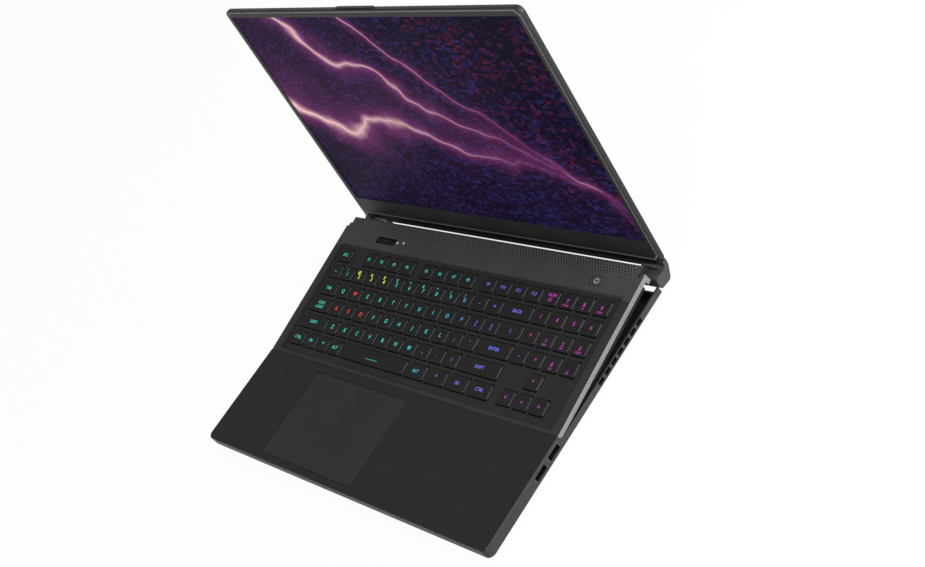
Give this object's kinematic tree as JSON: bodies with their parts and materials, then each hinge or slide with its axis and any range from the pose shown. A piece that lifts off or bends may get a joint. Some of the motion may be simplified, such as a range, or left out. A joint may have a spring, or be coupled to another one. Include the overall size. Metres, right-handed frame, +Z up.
{
  "type": "laptop computer",
  "caption": "Open laptop computer whose keyboard deck rises at the rear as the lid opens, with full keyboard, touchpad and hinged display.",
  "frame": {"origin": "centre of the open laptop's footprint on the desk, below the middle of its width and of its depth", "axes": "+X to the user's right along the hinge, +Y from the front edge to the rear, +Z up"},
  "size_m": [0.394, 0.3, 0.2608],
  "materials": {
    "case_coat": "satin charcoal coat",
    "lid_metal": "dark anodised",
    "deck_metal": "dark satin",
    "hinge_metal": "satin grey",
    "steel": "brushed",
    "dark_plastic": "matt black",
    "keycap": "soft matt",
    "screen": "matt panel",
    "pad_glass": "frosted",
    "bezel": "matt",
    "rubber": "matt",
    "circuit": "solder mask",
    "cell": "wrapped cells",
    "copper": "copper",
    "fins": "bare",
    "lens": "gloss"
  },
  "bodies": {
    "base": {"top_case": "case_coat", "bottom_cover": "case_coat", "bottom_screws": "steel", "rubber_feet": "rubber", "rear_exhaust": "case_coat", "usb_sockets": "steel", "power_socket": "steel", "video_socket": "steel", "data_sockets": "steel", "audio_jack": "dark_plastic", "touchpad_bracket": "dark_plastic", "battery_pack": "cell", "speaker_boxes": "dark_plastic", "mainboard": "circuit", "memory_module": "circuit", "storage_module": "circuit", "heat_pipes": "copper", "fin_stacks": "fins", "left_fan_housing": "dark_plastic", "right_fan_housing": "dark_plastic", "hinge_brackets": "steel", "hinge_pins": "steel", "deck_pivot_brackets": "steel"},
    "touchpad": {"touchpad": "pad_glass"},
    "left_fan": {"left_fan_rotor": "dark_plastic"},
    "right_fan": {"right_fan_rotor": "dark_plastic"},
    "deck": {"keyboard_deck": "deck_metal", "key_surround": "deck_metal", "vent_grille": "deck_metal", "switch_plate": "deck_metal", "side_baffles": "dark_plastic", "wheel_bearings": "dark_plastic"},
    "media_wheel": {"media_wheel": "dark_plastic"},
    "power_button": {"power_button": "deck_metal"},
    "function_keys": {"function_keys": "keycap"},
    "number_keys": {"number_keys": "keycap"},
    "backspace_key": {"backspace_key": "keycap"},
    "tab_key": {"tab_key": "keycap"},
    "upper_letter_keys": {"upper_letter_keys": "keycap"},
    "backslash_key": {"backslash_key": "keycap"},
    "caps_lock_key": {"caps_lock_key": "keycap"},
    "home_letter_keys": {"home_letter_keys": "keycap"},
    "enter_key": {"enter_key": "keycap"},
    "left_shift_key": {"left_shift_key": "keycap"},
    "lower_letter_keys": {"lower_letter_keys": "keycap"},
    "right_shift_key": {"right_shift_key": "keycap"},
    "modifier_keys": {"modifier_keys": "keycap"},
    "space_bar": {"space_bar": "keycap"},
    "numpad_keys": {"numpad_keys": "keycap"},
    "up_key": {"up_key": "keycap"},
    "left_key": {"left_key": "keycap"},
    "down_key": {"down_key": "keycap"},
    "right_key": {"right_key": "keycap"},
    "lid": {"lid_back_cover": "lid_metal", "lid_bezel": "bezel", "display_panel": "screen", "camera_module": "lens", "lid_gasket": "rubber", "left_hinge_arm": "hinge_metal", "right_hinge_arm": "hinge_metal"}
  },
  "joints": [
    {"name": "lid_hinge", "type": "hinge", "parent": "base", "child": "lid", "pos_m": [0, 0.10417, 0.0092], "axis": [-1, 0, 0], "range_deg": [-98, 22]},
    {"name": "deck_tilt", "type": "hinge", "parent": "base", "child": "deck", "pos_m": [0, -0.04583, 0.0114], "axis": [1, 0, 0], "range_deg": [-5.64, 1.27]},
    {"name": "touchpad_click", "type": "hinge", "parent": "base", "child": "touchpad", "pos_m": [-0.04475, -0.06043, 0.0131], "axis": [1, 0, 0], "range_deg": [0, 0.35], "stiffness_Nm_per_rad": 10, "springref_deg": -0.17},
    {"name": "left_fan_spin", "type": "hinge", "parent": "base", "child": "left_fan", "pos_m": [-0.134, 0.03497, 0.005], "axis": [0, 0, 1], "continuous": true},
    {"name": "right_fan_spin", "type": "hinge", "parent": "base", "child": "right_fan", "pos_m": [0.134, 0.03497, 0.005], "axis": [0, 0, 1], "continuous": true},
    {"name": "wheel_roll", "type": "hinge", "parent": "deck", "child": "media_wheel", "pos_m": [-0.1252, 0.08139, 0.02354], "axis": [1, 0, 0], "continuous": true},
    {"name": "power_press", "type": "slide", "parent": "deck", "child": "power_button", "axis": [0, -0.0981, 0.9952], "range_m": [-0.0006, 0], "stiffness_N_per_m": 1200, "springref_m": 0.0005},
    {"name": "function_press", "type": "slide", "parent": "deck", "child": "function_keys", "axis": [0, -0.0981, 0.9952], "range_m": [-0.0017, 0], "stiffness_N_per_m": 3900, "springref_m": 0.001},
    {"name": "number_press", "type": "slide", "parent": "deck", "child": "number_keys", "axis": [0, -0.0981, 0.9952], "range_m": [-0.0017, 0], "stiffness_N_per_m": 3900, "springref_m": 0.001},
    {"name": "backspace_press", "type": "slide", "parent": "deck", "child": "backspace_key", "axis": [0, -0.0981, 0.9952], "range_m": [-0.0017, 0], "stiffness_N_per_m": 300, "springref_m": 0.001},
    {"name": "tab_press", "type": "slide", "parent": "deck", "child": "tab_key", "axis": [0, -0.0981, 0.9952], "range_m": [-0.0017, 0], "stiffness_N_per_m": 300, "springref_m": 0.001},
    {"name": "upper_letter_press", "type": "slide", "parent": "deck", "child": "upper_letter_keys", "axis": [0, -0.0981, 0.9952], "range_m": [-0.0017, 0], "stiffness_N_per_m": 3600, "springref_m": 0.001},
    {"name": "backslash_press", "type": "slide", "parent": "deck", "child": "backslash_key", "axis": [0, -0.0981, 0.9952], "range_m": [-0.0017, 0], "stiffness_N_per_m": 300, "springref_m": 0.001},
    {"name": "caps_lock_press", "type": "slide", "parent": "deck", "child": "caps_lock_key", "axis": [0, -0.0981, 0.9952], "range_m": [-0.0017, 0], "stiffness_N_per_m": 300, "springref_m": 0.001},
    {"name": "home_letter_press", "type": "slide", "parent": "deck", "child": "home_letter_keys", "axis": [0, -0.0981, 0.9952], "range_m": [-0.0017, 0], "stiffness_N_per_m": 3300, "springref_m": 0.001},
    {"name": "enter_press", "type": "slide", "parent": "deck", "child": "enter_key", "axis": [0, -0.0981, 0.9952], "range_m": [-0.0017, 0], "stiffness_N_per_m": 300, "springref_m": 0.001},
    {"name": "left_shift_press", "type": "slide", "parent": "deck", "child": "left_shift_key", "axis": [0, -0.0981, 0.9952], "range_m": [-0.0017, 0], "stiffness_N_per_m": 300, "springref_m": 0.001},
    {"name": "lower_letter_press", "type": "slide", "parent": "deck", "child": "lower_letter_keys", "axis": [0, -0.0981, 0.9952], "range_m": [-0.0017, 0], "stiffness_N_per_m": 3000, "springref_m": 0.001},
    {"name": "right_shift_press", "type": "slide", "parent": "deck", "child": "right_shift_key", "axis": [0, -0.0981, 0.9952], "range_m": [-0.0017, 0], "stiffness_N_per_m": 300, "springref_m": 0.001},
    {"name": "modifier_press", "type": "slide", "parent": "deck", "child": "modifier_keys", "axis": [0, -0.0981, 0.9952], "range_m": [-0.0017, 0], "stiffness_N_per_m": 2400, "springref_m": 0.001},
    {"name": "space_bar_press", "type": "slide", "parent": "deck", "child": "space_bar", "axis": [0, -0.0981, 0.9952], "range_m": [-0.0017, 0], "stiffness_N_per_m": 300, "springref_m": 0.001},
    {"name": "numpad_press", "type": "slide", "parent": "deck", "child": "numpad_keys", "axis": [0, -0.0981, 0.9952], "range_m": [-0.0017, 0], "stiffness_N_per_m": 4800, "springref_m": 0.001},
    {"name": "up_press", "type": "slide", "parent": "deck", "child": "up_key", "axis": [0, -0.0981, 0.9952], "range_m": [-0.0017, 0], "stiffness_N_per_m": 300, "springref_m": 0.001},
    {"name": "left_press", "type": "slide", "parent": "deck", "child": "left_key", "axis": [0, -0.0981, 0.9952], "range_m": [-0.0017, 0], "stiffness_N_per_m": 300, "springref_m": 0.001},
    {"name": "down_press", "type": "slide", "parent": "deck", "child": "down_key", "axis": [0, -0.0981, 0.9952], "range_m": [-0.0017, 0], "stiffness_N_per_m": 300, "springref_m": 0.001},
    {"name": "right_press", "type": "slide", "parent": "deck", "child": "right_key", "axis": [0, -0.0981, 0.9952], "range_m": [-0.0017, 0], "stiffness_N_per_m": 300, "springref_m": 0.001}
  ],
  "couplings": [
    {"joint": "deck_tilt", "follows": "lid_hinge", "ratio": 0.057449}
  ]
}
